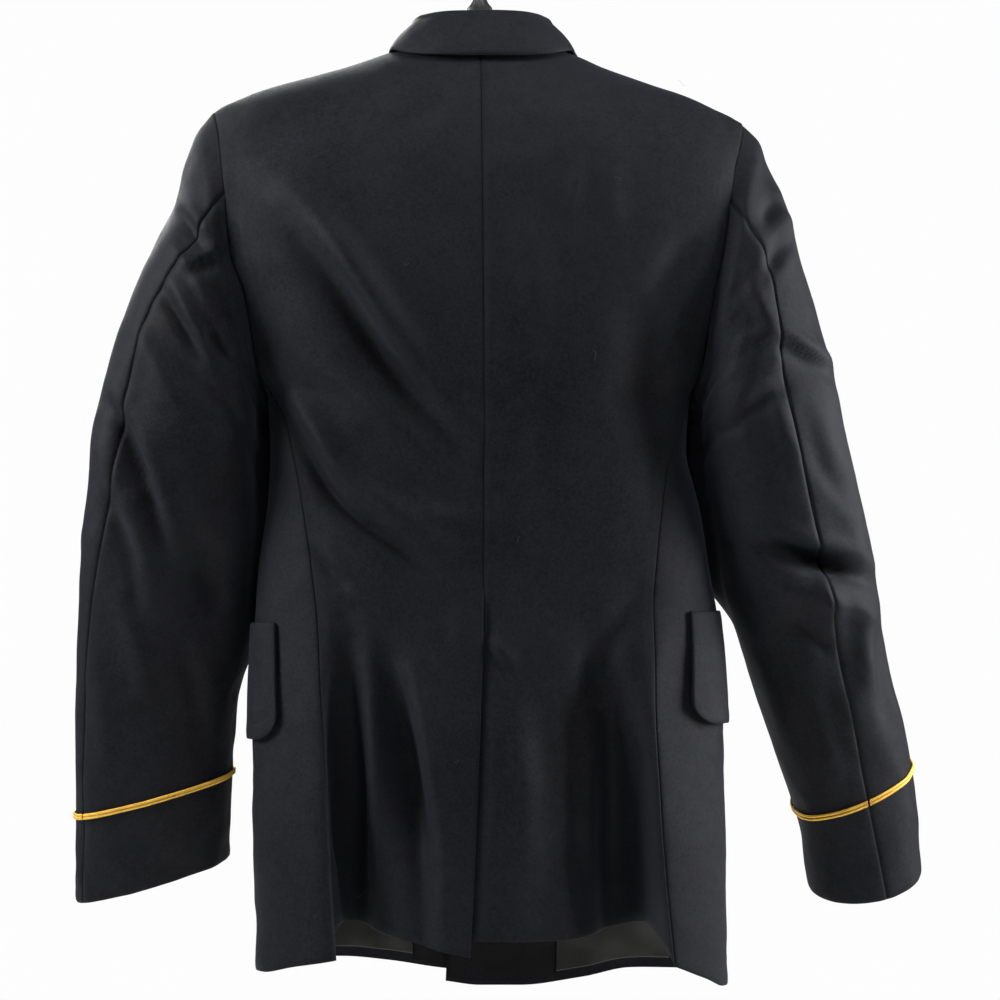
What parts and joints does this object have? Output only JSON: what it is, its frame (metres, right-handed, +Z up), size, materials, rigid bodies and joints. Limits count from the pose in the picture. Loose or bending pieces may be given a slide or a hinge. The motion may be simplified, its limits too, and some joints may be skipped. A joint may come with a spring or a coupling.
{
  "type": "dress uniform jacket on a hanger",
  "caption": "Single-breasted wool dress uniform jacket with lapels, flap pockets, a centre vent and gold cuff braid, hanging on a moulded hanger.",
  "frame": {"origin": "inside top of the hanger's hook, where the rod carries it", "axes": "+Z up, the jacket's front faces -Y, the wearer's left is +X"},
  "size_m": [0.7275, 0.2102, 0.9078],
  "materials": {
    "wool_cloth": "near-black navy wool blend, fine plain weave, matt",
    "facing_cloth": "the same wool inside the front edges",
    "lining_cloth": "olive-grey satin lining",
    "gold_braid": "metallic gold thread, two cords side by side",
    "button_brass": "polished, plain domed",
    "hanger_plastic": "black, moulded, half gloss"
  },
  "bodies": {
    "root": {"back_left": "wool_cloth", "side_left": "wool_cloth", "front_left": "wool_cloth", "lapel_left": "wool_cloth", "upper_sleeve_left": "wool_cloth", "under_sleeve_left": "wool_cloth", "pocket_flap_left": "wool_cloth", "cuff_braid_upper_left": "gold_braid", "cuff_braid_under_left": "gold_braid", "facing_left": "facing_cloth", "lining_left": "lining_cloth", "back_right": "wool_cloth", "side_right": "wool_cloth", "front_right": "wool_cloth", "lapel_right": "wool_cloth", "upper_sleeve_right": "wool_cloth", "under_sleeve_right": "wool_cloth", "pocket_flap_right": "wool_cloth", "cuff_braid_upper_right": "gold_braid", "cuff_braid_under_right": "gold_braid", "facing_right": "facing_cloth", "lining_right": "lining_cloth", "collar": "wool_cloth", "front_button_1": "button_brass", "front_button_2": "button_brass", "front_button_3": "button_brass", "front_button_4": "button_brass", "hanger": "hanger_plastic"}
  },
  "joints": []
}
